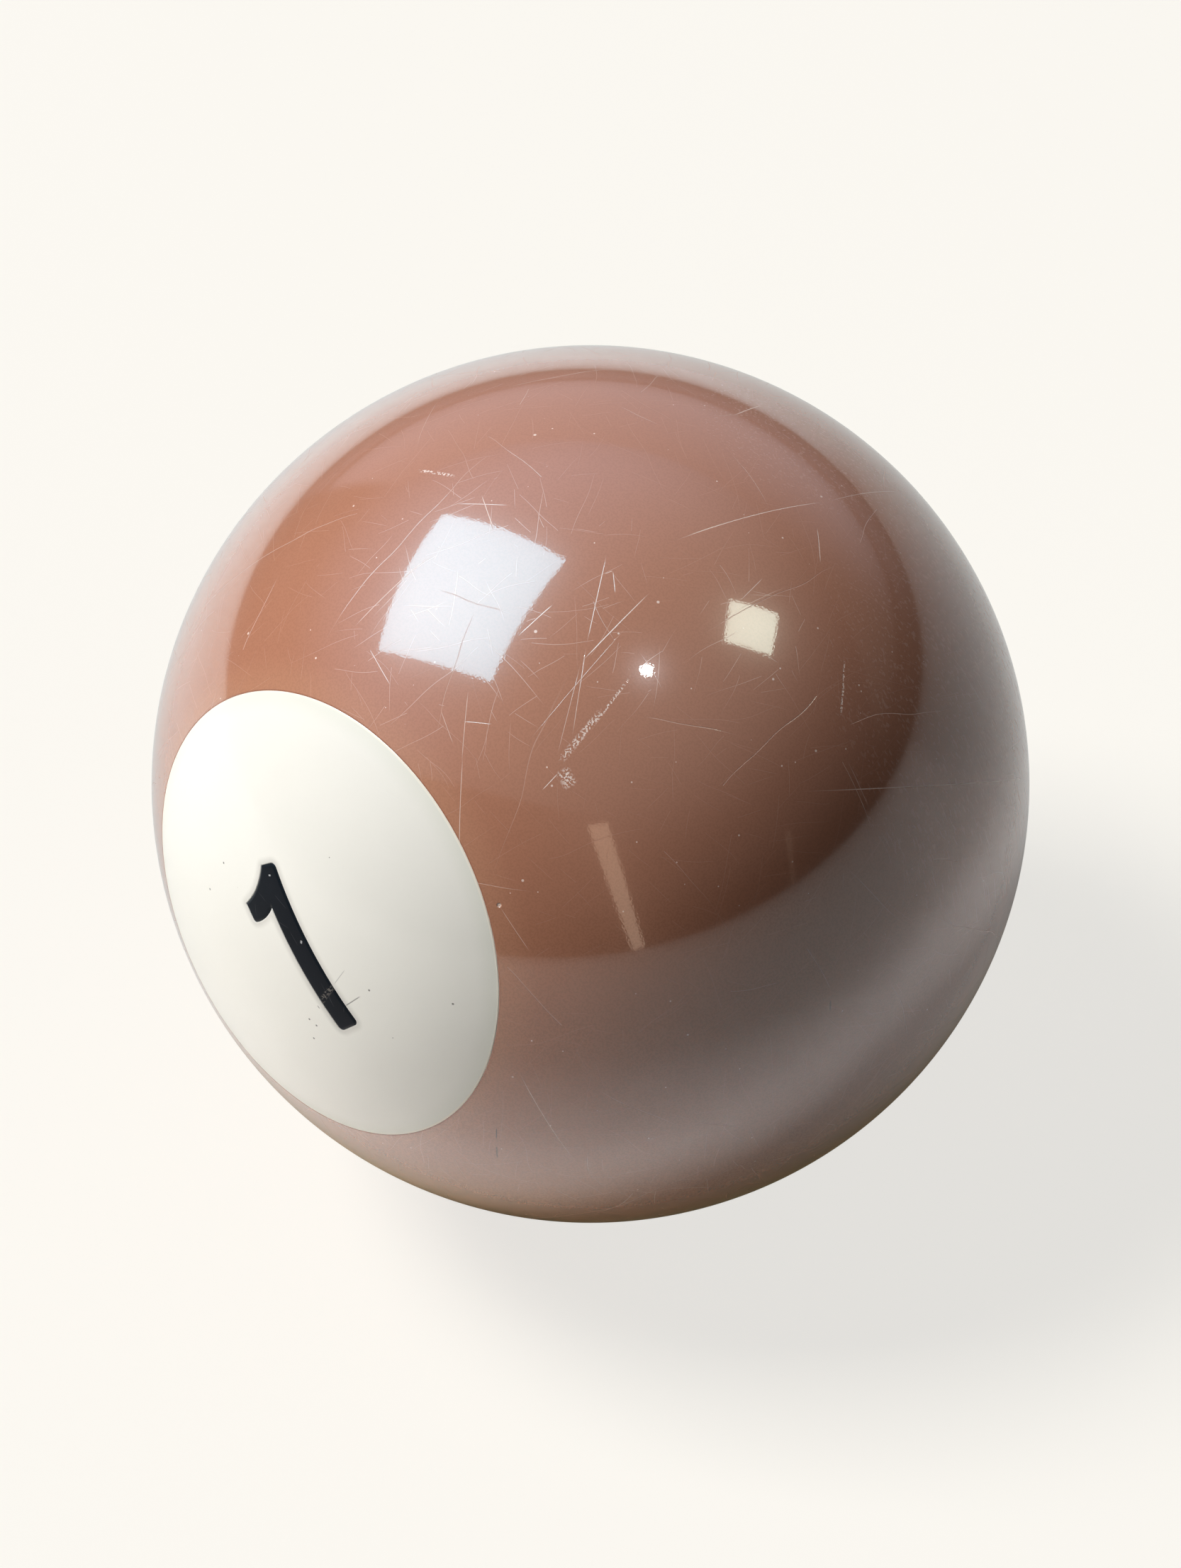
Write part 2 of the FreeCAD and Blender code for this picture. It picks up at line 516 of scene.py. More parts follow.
def number_place(graph, axes):
    """The point on a number's own axes, in millimetres."""
    place = row_place(graph)
    parts = [graph.vector("DOT_PRODUCT", place, tuple(axes.col[k])) for k in range(3)]
    return graph.node("ShaderNodeCombineXYZ", {"X": parts[0], "Y": parts[1], "Z": parts[2]}).outputs[0]


def hairlines(graph, place, cell, width, reach, seed, share=1.0):
    """One straight hairline in each cell of a scatter of cells, at a random angle and length.
    cell, width and reach are millimetres; share is how many of the cells have one."""
    shifted = graph.vector("ADD", place, (seed * 17.3, seed * -9.1, seed * 5.7))
    inputs = {"Vector": shifted, "Scale": 1.0 / cell}
    cells = graph.node("ShaderNodeTexVoronoi", inputs)
    from_seed = graph.vector("SUBTRACT", shifted, cells.outputs["Position"])
    normal = graph.vector("NORMALIZE", place)
    random = graph.vector("SUBTRACT", cells.outputs["Color"], (0.5, 0.5, 0.5))
    across = graph.vector("NORMALIZE", graph.vector("CROSS_PRODUCT", normal, random))
    along = graph.vector("CROSS_PRODUCT", normal, across)
    gap = graph.math("ABSOLUTE", graph.vector("DOT_PRODUCT", from_seed, across))
    run = graph.math("ABSOLUTE", graph.vector("DOT_PRODUCT", from_seed, along))
    draw = graph.node("ShaderNodeSeparateColor", {"Color": cells.outputs["Color"]})
    length = graph.math("MULTIPLY_ADD", draw.outputs["Red"], reach * 0.8, reach * 0.2)
    taper = graph.fade(graph.math("DIVIDE", run, length), 1.0, 0.3)
    line = graph.fade(gap, width, width * 0.25)
    strength = graph.fade(draw.outputs["Blue"], 1.0 - share, 1.25 - share * 0.9)
    return graph.math("MULTIPLY", graph.math("MULTIPLY", line, taper), strength)


def hairline_layers(graph, place, layers):
    """The strongest of several layers of hairlines, each (cell, width, reach, seed, share)."""
    return graph.largest(hairlines(graph, place, *layer) for layer in layers)


def direction(longitude, latitude):
    """The unit vector to a spot on the ball: longitude in degrees from -Y towards +X, and latitude."""
    turn, rise = math.radians(longitude), math.radians(latitude)
    level = math.cos(rise)
    return Vector((math.sin(turn) * level, -math.cos(turn) * level, math.sin(rise)))


def scratch(graph, place, start, end, width, strength=1.0):
    """A single scratch along a great circle, from start to end, which are unit vectors."""
    plane = start.cross(end).normalized()
    middle = (start + end).normalized()
    along = (end - start).normalized()
    half = (end - start).length / 2 * RADIUS / MM
    gap = graph.math("ABSOLUTE", graph.vector("DOT_PRODUCT", place, tuple(plane)))
    run = graph.math("ABSOLUTE", graph.vector("DOT_PRODUCT", place, tuple(along)))
    facing = graph.vector("DOT_PRODUCT", place, tuple(middle))
    line = graph.fade(gap, width, width * 0.3)
    taper = graph.fade(run, half, half * 0.55, 0.0, strength)
    near = graph.math("GREATER_THAN", facing, 0.0)
    return graph.math("MULTIPLY", graph.math("MULTIPLY", line, taper), near)


def chatter(graph, place, start, end, width, grain):
    """A band of small pits from start to end, which are unit vectors; grain is their size in mm."""
    band = scratch(graph, place, start, end, width)
    pits = graph.noise(place, grain, 1.0).outputs[0]
    return graph.math("MULTIPLY", band, graph.fade(pits, 0.49, 0.56))


def spot(graph, place, centre, radius):
    """A round mark on the ball at a unit vector, fading out at that radius in millimetres."""
    gap = graph.vector("DISTANCE", place, tuple(centre * (RADIUS / MM)))
    return graph.fade(gap, radius, radius * 0.4)


# A round patch, used both for brushing wear and for painted highlight halos
def wear_and_halo_patch(graph, place, centre, reach):
    """A patch round a place in degrees, strongest in its middle and gone at that many degrees away."""
    away = graph.vector("DOT_PRODUCT", graph.vector("NORMALIZE", place), tuple(direction(*centre)))
    return graph.fade(away, math.cos(math.radians(reach)), math.cos(math.radians(reach / 3)))


def brushed(graph, place, patches):
    """Fine upright lines within several patches."""
    stretched = graph.vector("MULTIPLY", place, (1.0, 1.0, 0.03))
    lines = graph.fade(graph.noise(stretched, 0.2, 1.0).outputs[0], 0.58, 0.68)
    within_patches = graph.largest(wear_and_halo_patch(graph, place, *patch) for patch in patches)
    return graph.math("MULTIPLY", lines, within_patches)


def specks(graph, place, cell, radius, seed, share):
    """Round specks of up to that radius, one to a cell, in that share of the cells."""
    shifted = graph.vector("ADD", place, (seed * 7.9, seed * 13.7, seed * -4.3))
    cells = graph.node("ShaderNodeTexVoronoi", {"Vector": shifted, "Scale": 1.0 / cell})
    draw = graph.node("ShaderNodeSeparateColor", {"Color": cells.outputs["Color"]})
    distance = graph.math("MULTIPLY", cells.outputs["Distance"], cell)
    size = graph.math("MULTIPLY_ADD", draw.outputs["Green"], radius * 0.7, radius * 0.3)
    dot = graph.fade(graph.math("DIVIDE", distance, size), 1.0, 0.5)
    return graph.math("MULTIPLY", dot, graph.math("GREATER_THAN", draw.outputs["Red"], 1.0 - share))


POLISH_IOR = 1.55
POLISH_ROUGHNESS = 0.018


def on_number(x, y):
    """The unit vector to a spot given in millimetres across and up the numeral's own axes."""
    return Vector((x, y, math.sqrt((RADIUS / MM) ** 2 - x * x - y * y))).normalized()


def marks_on_number(graph, place, marks):
    """The strongest of several scratch-shaped strokes, each (start, end, width, strength) in the
    numeral's axes.
    """
    return graph.largest(
        scratch(graph, place, on_number(*start), on_number(*end), width, strength)
        for start, end, width, strength in marks
    )


def resin_shader(graph, base, haze, height, polish=1.0, under_ior=1.35, dulled=POLISH_ROUGHNESS):
    """Polished resin: a sharp coat over a hazier surface. haze is the roughness under the polish, polish
    is how much of the coat is left, dulled is the coat's own roughness, and height is in millimetres."""
    bump = graph.node("ShaderNodeBump", {"Height": height, "Strength": 1.0, "Distance": MM})
    shader = graph.node("ShaderNodeBsdfPrincipled", {
        "Base Color": base,
        "Roughness": haze,
        "IOR": under_ior,
        "Normal": bump.outputs["Normal"],
        "Coat Weight": polish,
        "Coat Roughness": dulled,
        "Coat IOR": POLISH_IOR,
        "Coat Normal": bump.outputs["Normal"],
    })
    graph.node("ShaderNodeOutputMaterial", {"Surface": shader.outputs[0]})


def new_material(name):
    material = bpy.data.materials.new(name)
    material.use_nodes = True
    return material, Graph(material.node_tree)


# Layers of hairlines on the body: (cell, width, reach, seed, share), in millimetres
FINE_HAIRLINES = [
    (2.4, 0.022, 3.0, 1, 0.8),
    (3.3, 0.024, 4.0, 2, 0.8),
    (4.2, 0.024, 5.0, 3, 0.8),
    (5.4, 0.026, 6.0, 8, 0.8),
]
LONG_HAIRLINES = [
    (8.0, 0.028, 8.0, 4, 0.5),
    (13.0, 0.032, 12.0, 5, 0.5),
]

# Layers of dust specks on the body: (cell, radius, seed, share), in millimetres
DUST = [(1.3, 0.09, 6, 0.8), (2.2, 0.13, 7, 0.7)]

# Painted highlight halos around the places that mirror the window, the lamp and the hatch, where the
# fine hairlines are painted pale: (place, reach in degrees)
PAINTED_HALO_PATCHES = [((19, 66), 25), ((63, 55), 6), ((88, 54), 10)]

# Scratches that stand out on the body, each (start, end, width in mm, strength); a place is
# (longitude, latitude) in degrees, with longitude 0 at -Y and 90 at +X
BODY_SCRATCHES = [
    ((90, 68), (131, 53), 0.036, 0.9),
    ((131, 53), (148, 38), 0.029, 0.7),
    ((67, 71), (52, 60), 0.036, 0.7),
    ((52, 60), (46, 49), 0.032, 0.6),
    ((73, 64), (50, 58), 0.040, 1.0),
    ((50, 58), (43, 47), 0.029, 0.5),
    ((63, 61), (38, 49), 0.025, 0.5),
    ((43, 45), (40, 43), 0.036, 1.0),
    ((45, 66), (35, 62), 0.036, 0.9),
    ((25, 51), (31, 51), 0.032, 0.8),
    ((25, 55), (26, 46), 0.032, 0.6),
    ((26, 47), (27, 35), 0.032, 0.7),
    ((20, 52), (24, 48), 0.029, 0.5),
    ((-8, 57), (-2, 70), 0.032, 0.8),
    ((-1, 56), (8, 53), 0.029, 0.7),
    ((-6, 80), (17, 76), 0.036, 0.9),
    ((-13, 77), (19, 80), 0.029, 0.8),
    ((100, 57), (91, 57), 0.029, 0.7),
    ((79, 34), (124, 3), 0.036, 0.8),
    ((122, 54), (113, 52), 0.036, 0.9),
    ((33, 29), (37, 23), 0.025, 0.5),
    ((34, 6), (39, -11), 0.032, 0.8),
    ((63, 68.5), (66, 68.5), 0.032, 0.9),
    ((66, 68.5), (63.5, 65.5), 0.032, 0.8),
    ((157.5, 63), (164, 56.5), 0.040, 1.0),
]
BODY_DARK_MARKS = [
    ((30, -4.5), (29.6, -7), 0.06, 0.9),
    ((29.4, -8.5), (29, -11.5), 0.06, 0.9),
    ((74.5, 6), (74.2, 4.2), 0.08, 0.9),
]

# Where upright brushing shows on the body: (place, reach in degrees)
BRUSHED_PATCHES = [((118, 22), 34), ((150, 55), 16)]

# Bands of small pits, each (start, end, width in mm), with places as above
BODY_CHATTER = [
    ((60, 55), (50, 50), 0.12),
    ((53, 52), (43, 46), 0.30),
    ((43.5, 45.5), (45, 43), 0.55),
    ((100, 43), (92, 38), 0.10),
    ((-34, 79), (-50, 74), 0.16),
]

# Bare patches of the rim's edge, each (place, radius in mm)
RIM_CHIPS = [((33, 29), 0.17), ((31, 10), 0.17)]


def marks_on_body(graph, place, marks):
    """The strongest of several scratches, each as in BODY_SCRATCHES."""
    return graph.largest(
        scratch(graph, place, direction(*start), direction(*end), width, strength)
        for start, end, width, strength in marks
    )


# Colours of the resins, of what marks them, and of the shade and highlights painted on them, as linear
# red, green and blue
BROWNS = colour(0.43, 0.188, 0.112), colour(0.47, 0.206, 0.124)
# Painted glow of the brown next to the number discs
BROWN_PAINTED_GLOW_NEAR_RIM = colour(0.56, 0.29, 0.175)
BROWN_AT_SEAM = colour(0.22, 0.07, 0.035)
PORE = colour(0.16, 0.07, 0.04)
# Pale scratches and dust, and also the painted highlight on the fine hairlines
PALE_SCRATCH_AND_HIGHLIGHT = colour(0.92, 0.74, 0.65)
DARK_SCRATCH = colour(0.04, 0.025, 0.02)
BARE_CHIP = colour(0.75, 0.55, 0.45)
IVORIES = colour(0.88, 0.86, 0.79), colour(0.92, 0.90, 0.83)
# Painted shade near the disc's rim, a painted highlight line at the rim, painted shade near the numeral
# and a painted highlight line at the numeral
IVORY_PAINTED_SHADE_NEAR_RIM = colour(0.76, 0.77, 0.66)
IVORY_PAINTED_HIGHLIGHT_AT_RIM = colour(0.95, 0.90, 0.78)
IVORY_PAINTED_SHADE_NEAR_NUMERAL = colour(0.50, 0.48, 0.43)
IVORY_PAINTED_HIGHLIGHT_AT_NUMERAL = colour(0.93, 0.91, 0.84)
DIRT = colour(0.10, 0.09, 0.075)
BLACKS = colour(0.003, 0.005, 0.008), colour(0.006, 0.009, 0.014)
BLACK_AT_EDGE = colour(0.020, 0.025, 0.032)
NUMERAL_HAIRLINE = colour(0.12, 0.12, 0.13)
SCUFF = colour(0.16, 0.145, 0.13)
# Colour of the painted highlights on the numeral
GLINT = colour(0.5, 0.5, 0.5)


def body_resin():
    material, graph = new_material("body_resin")
    place = row_place(graph)
    cloud = graph.noise(place, 14.0, 3.0).outputs[0]
    grain = graph.noise(place, 0.13, 1.0).outputs[0]
    warp = graph.noise(place, 6.0, 1.0).outputs["Color"]
    wavy = graph.vector("ADD", place, graph.vector("SCALE", warp, scale=1.6))
    fine = hairline_layers(graph, wavy, FINE_HAIRLINES)
    long = hairline_layers(graph, wavy, LONG_HAIRLINES)
    named = marks_on_body(graph, place, BODY_SCRATCHES)
    dust = graph.largest(specks(graph, place, *layer) for layer in DUST)
    brushing = brushed(graph, place, BRUSHED_PATCHES)
    pitted = graph.largest(
        chatter(graph, place, direction(*start), direction(*end), width, 0.14)
        for start, end, width in BODY_CHATTER
    )
    named = graph.math("MAXIMUM", named, pitted)
    number_axis = LAID_DOWN.col[2]
    rise = graph.math("ABSOLUTE", graph.vector("DOT_PRODUCT", place, tuple(number_axis)))
    # Painted glow: the brown is painted lighter within 1.5 mm of each number disc, standing in for light
    # that the white plug passes into the resin
    rim_glow = graph.fade(rise, (RIM_HEIGHT - 1.5 * MM) / MM, RIM_HEIGHT / MM)
    base = graph.mix(cloud, *BROWNS)
    base = graph.mix(graph.math("MULTIPLY", rim_glow, 0.35), base, BROWN_PAINTED_GLOW_NEAR_RIM)
    rim_line = graph.fade(rise, (RIM_HEIGHT - 0.06 * MM) / MM, (RIM_HEIGHT - 0.02 * MM) / MM)
    base = graph.mix(graph.math("MULTIPLY", rim_line, 0.6), base, BROWN_AT_SEAM)
    # The grain shows most in the ball's lower half
    lowness = graph.vector("DOT_PRODUCT", place, (0, 0, -1))
    grainy = graph.fade(graph.math("MULTIPLY_ADD", cloud, 30.0, lowness), 0, 25)
    grain_depth = graph.math("MULTIPLY_ADD", grainy, 0.22, 0.10)
    pores = graph.math("MULTIPLY", graph.fade(grain, 0.46, 0.58), grain_depth)
    base = graph.mix(pores, base, PORE)
    # Painted highlight: the fine hairlines are painted pale around the places that mirror the window,
    # the lamp and the hatch
    painted_halos = graph.largest(wear_and_halo_patch(graph, place, *patch) for patch in PAINTED_HALO_PATCHES)
    fine_in_painted_halos = graph.math("MULTIPLY", fine, graph.math("MULTIPLY_ADD", painted_halos, 0.36, 0.05))
    faint = graph.math("MAXIMUM", graph.math("MULTIPLY", long, 0.35), fine_in_painted_halos)
    marks = graph.largest([faint, named, dust, graph.math("MULTIPLY", brushing, 0.12)])
    base = graph.mix(graph.math("MULTIPLY", marks, 0.85), base, PALE_SCRATCH_AND_HIGHLIGHT)
    dark_marks = marks_on_body(graph, place, BODY_DARK_MARKS)
    base = graph.mix(dark_marks, base, DARK_SCRATCH)
    worn = graph.largest([fine, long, named, dust, brushing])
    haze = graph.math("MULTIPLY_ADD", worn, 0.20, 0.22)
    # The fine hairlines dull the polish, and only the deeper ones are cut into the surface, because a
    # shader works its height out three times and has room for few values
    dulled = graph.math("MULTIPLY_ADD", fine, 0.25, POLISH_ROUGHNESS)
    height = graph.math("MULTIPLY", graph.math("MAXIMUM", long, named), -0.007)
    chips = graph.largest(spot(graph, place, direction(*centre), radius) for centre, radius in RIM_CHIPS)
    base = graph.mix(chips, base, BARE_CHIP)
    height = graph.math("MULTIPLY_ADD", chips, -0.05, height)
    height = graph.math("MULTIPLY_ADD", grain, 0.0014, height)
    resin_shader(graph, base, haze, height, dulled=dulled)
    return material


# Layers of hairlines on a disc and on a numeral, as for the body
DISC_HAIRLINES = [(2.6, 0.032, 2.4, 10, 0.6), (5.5, 0.036, 5.0, 12, 0.4)]
NUMERAL_HAIRLINES = [(1.1, 0.03, 1.0, 20, 0.6), (2.2, 0.034, 2.0, 22, 0.5)]

# Marks on the front disc and numeral, and painted highlights on the numeral: (start, end, width,
# strength), in millimetres on its own axes
DISC_DARK_MARKS = [
    ((2.1, -5.5), (3.9, -5.3), 0.055, 0.8),
    ((0.03, -5.02), (0.03, -4.76), 0.06, 0.7),
    ((2.4, -4.0), (4.0, -3.4), 0.04, 0.4),
]
DISC_PALE_MARKS = [
    ((-8.1, -6.6), (-5.1, -7.6), 0.06, 0.8),
    ((-8.4, -6.5), (-7.5, -5.2), 0.06, 0.7),
]
DISC_DARK_SPOTS = [
    (-2.72, 5.67), (-5.39, 4.55), (-1.50, -5.37), (-1.25, -5.91),
    (-2.34, -6.59), (4.72, -5.19), (9.19, -8.05),
]
NUMERAL_SCUFF = ((0.4, -4.7), (2.4, -4.0), 0.26)
# Painted highlights: two small glints on the numeral
NUMERAL_GLINTS = [
    ((1.50, 3.70), (1.54, 3.82), 0.12, 1.0),
    ((1.70, -0.86), (1.88, -0.68), 0.10, 0.8),
]


def reseeded(layers, seed):
    """The layers of hairlines with seed added to each one's own."""
    return [(cell, width, reach, own + seed, share) for cell, width, reach, own, share in layers]


def disc_resin(name, axes, seed):
    material, graph = new_material(name)
    place = number_place(graph, axes)
    cloud = graph.noise(place, 9.0, 3.0).outputs[0]
    fine = hairline_layers(graph, place, reseeded(DISC_HAIRLINES, seed))
    base = graph.mix(cloud, *IVORIES)
    flat = graph.vector("MULTIPLY", place, (1.0, 1.0, 0.0))
    out = graph.vector("LENGTH", flat)
    rim = RIM_RADIUS / MM
    # Painted shade: the ivory is painted darker and greener within 1.3 mm of its rim
    base = graph.mix(graph.fade(out, rim - 1.3, rim, 0.0, 0.4), base, IVORY_PAINTED_SHADE_NEAR_RIM)
    # Painted highlight: a thin bright line just inside the rim
    base = graph.mix(graph.fade(out, rim - 0.16, rim - 0.08), base, IVORY_PAINTED_HIGHLIGHT_AT_RIM)
    gap = graph.node("ShaderNodeAttribute", attribute_name="gap_mm").outputs["Fac"]
    # Painted shade: the ivory is painted darker within 0.55 mm of the numeral
    base = graph.mix(graph.fade(gap, 0.55, 0.0, 0.0, 0.5), base, IVORY_PAINTED_SHADE_NEAR_NUMERAL)
    # Painted highlight: a thin bright outline close around the numeral
    base = graph.mix(graph.fade(gap, 0.11, 0.05, 0.0, 0.25), base, IVORY_PAINTED_HIGHLIGHT_AT_NUMERAL)
    dirt = specks(graph, place, 1.9, 0.055, seed + 14, 0.8)
    if axes is LAID_DOWN:
        spots = [spot(graph, place, on_number(x, y), 0.10) for x, y in DISC_DARK_SPOTS]
        dirt = graph.largest([dirt, marks_on_number(graph, place, DISC_DARK_MARKS), *spots])
        pale = marks_on_number(graph, place, DISC_PALE_MARKS)
        fine = graph.math("MAXIMUM", fine, pale)
    base = graph.mix(graph.math("MULTIPLY", dirt, 0.85), base, DIRT)
    haze = graph.math("MULTIPLY_ADD", fine, 0.1, 0.35)
    height = graph.math("MULTIPLY", graph.noise(place, 0.3).outputs[0], 0.0008)
    height = graph.math("MULTIPLY_ADD", fine, -0.002, height)
    height = graph.math("MULTIPLY_ADD", dirt, -0.006, height)
    resin_shader(graph, base, haze, height, polish=0.35)
    return material


def numeral_resin(name, axes, seed):
    material, graph = new_material(name)
    place = number_place(graph, axes)
    cloud = graph.noise(place, 2.0, 3.0).outputs[0]
    fine = hairline_layers(graph, place, reseeded(NUMERAL_HAIRLINES, seed))
    base = graph.mix(cloud, *BLACKS)
    edge = graph.node("ShaderNodeAttribute", attribute_name="edge_mm").outputs["Fac"]
    base = graph.mix(graph.fade(edge, 0.25, 0.0, 0.0, 0.5), base, BLACK_AT_EDGE)
    base = graph.mix(graph.math("MULTIPLY", fine, 0.2), base, NUMERAL_HAIRLINE)
    marks = fine
    if axes is LAID_DOWN:
        start, end, width = NUMERAL_SCUFF
        scuff = chatter(graph, place, on_number(*start), on_number(*end), width, 0.16)
        glints = marks_on_number(graph, place, NUMERAL_GLINTS)
        base = graph.mix(graph.math("MULTIPLY", scuff, 0.8), base, SCUFF)
        # Painted highlights on the numeral
        base = graph.mix(glints, base, GLINT)
        marks = graph.largest([fine, scuff, glints])
    haze = graph.math("MULTIPLY_ADD", marks, 0.3, 0.3)
    height = graph.math("MULTIPLY", graph.noise(place, 0.25).outputs[0], 0.0012)
    height = graph.math("MULTIPLY_ADD", marks, -0.003, height)
    resin_shader(graph, base, haze, height, polish=0.05, under_ior=1.15)
    return material


# ----------------------------------------
# Stage: a pale floor and backdrop for the camera, paper that lights the ball and paper that it
# mirrors, and the room, panels and lights round it
# ----------------------------------------
CEILING = 2.4
SHEET_RADIUS = 0.45
FLOOR_RADIUS = 3.0
CREAM = (0.965, 0.94, 0.88)

# Bright panels in the ceiling, seen only as reflections. Corners are shares of the ceiling's height.
WINDOW_CORNERS = [(-0.90, 0.18), (-0.14, 0.17), (-0.04, -0.48), (-0.79, -0.62)]
HATCH_CORNERS = [(0.47, 0.65), (0.72, 0.98), (0.93, 0.75), (0.64, 0.46)]
LAMP_PLACE = (0.489, 0.016)
LAMP_SIZE = 0.055


def stage_mesh(name, points, faces, material):
    mesh = bpy.data.meshes.new(name)
    mesh.from_pydata(points, [], faces)
    mesh.materials.append(material)
    piece = bpy.data.objects.new(name, mesh)
    bpy.context.scene.collection.objects.link(piece)
    return piece


def ceiling_panel(name, corners, radiance):
    material = plain_material(name, "ShaderNodeEmission", radiance)
    points = [(x * CEILING, y * CEILING, CEILING) for x, y in corners]
    seen_by(stage_mesh(name, points, [range(len(points))], material), glossy=True)


def area_light(name, size, radiance):
    """An area light that the camera doesn't see, without its energy, and its strongest channel."""
    data = bpy.data.lights.new(name, "AREA")
    data.size = size
    strongest = max(radiance)
    data.color = [c / strongest for c in radiance]
    light = bpy.data.objects.new(name, data)
    bpy.context.scene.collection.objects.link(light)
    light.visible_camera = False
    return light, strongest


def ceiling_lamp(name, place, size, radiance):
    """A small round lamp in the ceiling, seen only as a reflection."""
    light, strongest = area_light(name, size * CEILING, radiance)
    light.data.shape = "DISK"
    light.data.energy = math.pi * strongest * math.pi / 4 * light.data.size**2
    light.location = (place[0] * CEILING, place[1] * CEILING, CEILING)
    light.visible_diffuse = False


SOFT_LIGHT_DISTANCE = 2.0
SOFT_LIGHT_SIZE = 0.8


def soft_light(name, longitude, latitude, strength):
    """A soft square light that the ball doesn't mirror, aimed at it from that direction. strength is the
    radiance that it gives white paper facing it."""
    light, strongest = area_light(name, SOFT_LIGHT_SIZE, strength)
    light.data.energy = (math.pi * SOFT_LIGHT_DISTANCE) ** 2 * strongest
    towards = direction(longitude, latitude)
    light.location = towards * SOFT_LIGHT_DISTANCE
    light.rotation_euler = towards.to_track_quat("Z", "Y").to_euler()
    light.visible_glossy = False


def disc_mesh(name, radius, height, material):
    turns = [2 * math.pi * k / 128 for k in range(128)]
    points = [(radius * math.cos(t), radius * math.sin(t), height) for t in turns]
    return stage_mesh(name, points, [range(len(points))], material)


def dome_mesh(name, radius, material):
    """A sphere round the stage."""
    profile = [(0, radius, None)]
    profile += [dome_point(radius, math.pi * k / 32) for k in range(1, 32)]
    profile += [(0, -radius, None)]
    points, faces, _ = revolve(profile, 64)
    return stage_mesh(name, points, faces, material)


def seen_by(piece, camera=False, diffuse=False, glossy=False):
    """Limits a stage object to the kinds of ray that are named."""
    piece.visible_camera = camera
    piece.visible_diffuse = diffuse
    piece.visible_glossy = glossy
    piece.visible_transmission = False
    piece.visible_shadow = False


def plain_material(name, shader_kind, shade):
    material, graph = new_material(name)
    shader = graph.node(shader_kind, {"Color": colour(*shade)})
    graph.node("ShaderNodeOutputMaterial", {"Surface": shader.outputs[0]})
    return material


def glowing_paper(graph, shade, glow):
    """A lit paper surface that also glows a little, so that its shadows stay soft."""
    paper = graph.node("ShaderNodeBsdfDiffuse", {"Color": shade})
    light = graph.node("ShaderNodeEmission", {"Color": glow})
    return graph.node("ShaderNodeAddShader", {0: paper.outputs[0], 1: light.outputs[0]}).outputs[0]


def bounce_material():
    """Paper that is bright to the left of the ball and painted dark to its right, as painted shade on
    the side away from the light.
    """
    material, graph = new_material("bounce_sheet")
    place = graph.node("ShaderNodeTexCoord").outputs["Object"]
    right = graph.vector("DOT_PRODUCT", place, tuple(direction(75, 0)))
    # Painted shade: the paper is dark on the ball's right
    shade = graph.mix(graph.fade(right, 0.0, 0.08), colour(0.90, 0.86, 0.79), colour(0.05, 0.05, 0.04))
    paper = graph.node("ShaderNodeBsdfDiffuse", {"Color": shade})
    graph.node("ShaderNodeOutputMaterial", {"Surface": paper.outputs[0]})
    return material


def mirrored_material():
    """Paper that is warm in front of the ball and cooler behind it, with painted light that makes it
    brighter to its left and close in front of the ball, and a painted shadow right around the ball.
    """
    material, graph = new_material("mirrored_sheet")
    place = graph.node("ShaderNodeTexCoord").outputs["Object"]
    ahead = graph.vector("DOT_PRODUCT", place, tuple(direction(48, 0)))
    front = graph.fade(ahead, -0.03, 0.03)
    # Painted light: behind the ball the paper is painted brighter and cooler to its left
    left = graph.fade(graph.vector("DOT_PRODUCT", place, tuple(direction(-80, 0))), 0.0, 0.16)
    back_shade = graph.mix(left, colour(0.42, 0.42, 0.41), colour(0.64, 0.69, 0.70))
    back_glow = graph.mix(left, colour(0.15, 0.15, 0.145), colour(0.22, 0.25, 0.26))
    # Distances here are from the ball's centre, so straight below it is one radius away
    away = graph.vector("LENGTH", place)
    # Painted light: in front the paper is painted brighter close to the ball than farther off
    far = graph.fade(away, 1.8 * RADIUS, 3.3 * RADIUS)
    front_shade = graph.mix(far, colour(0.92, 0.88, 0.86), colour(0.72, 0.68, 0.65))
    front_glow = graph.mix(far, colour(0.42, 0.40, 0.39), colour(0.20, 0.185, 0.175))
    shade = graph.mix(front, back_shade, front_shade)
    glow = graph.mix(front, back_glow, front_glow)
    # Painted shadow: the ball keeps light off the paper close around it
    near = graph.fade(away, 1.15 * RADIUS, 1.70 * RADIUS)
    shade = graph.mix(near, colour(0.22, 0.17, 0.10), shade)
    glow = graph.mix(near, colour(0.07, 0.055, 0.03), glow)
    surface = glowing_paper(graph, shade, glow)
    graph.node("ShaderNodeOutputMaterial", {"Surface": surface})
    return material


def floor_material():
    """Pale paper with a faint shadow, which turns into a plain shade away from the ball."""
    material, graph = new_material("floor")
    place = graph.node("ShaderNodeTexCoord").outputs["Object"]
    far = graph.fade(graph.vector("LENGTH", place), 0.1, 0.5)
    lit = glowing_paper(graph, colour(0.20, 0.185, 0.16), colour(0.75, 0.74, 0.71))
    plain = graph.node("ShaderNodeEmission", {"Color": colour(*CREAM)})
    blend = graph.node("ShaderNodeMixShader", {0: far, 1: lit, 2: plain.outputs[0]})
    graph.node("ShaderNodeOutputMaterial", {"Surface": blend.outputs[0]})
    return material


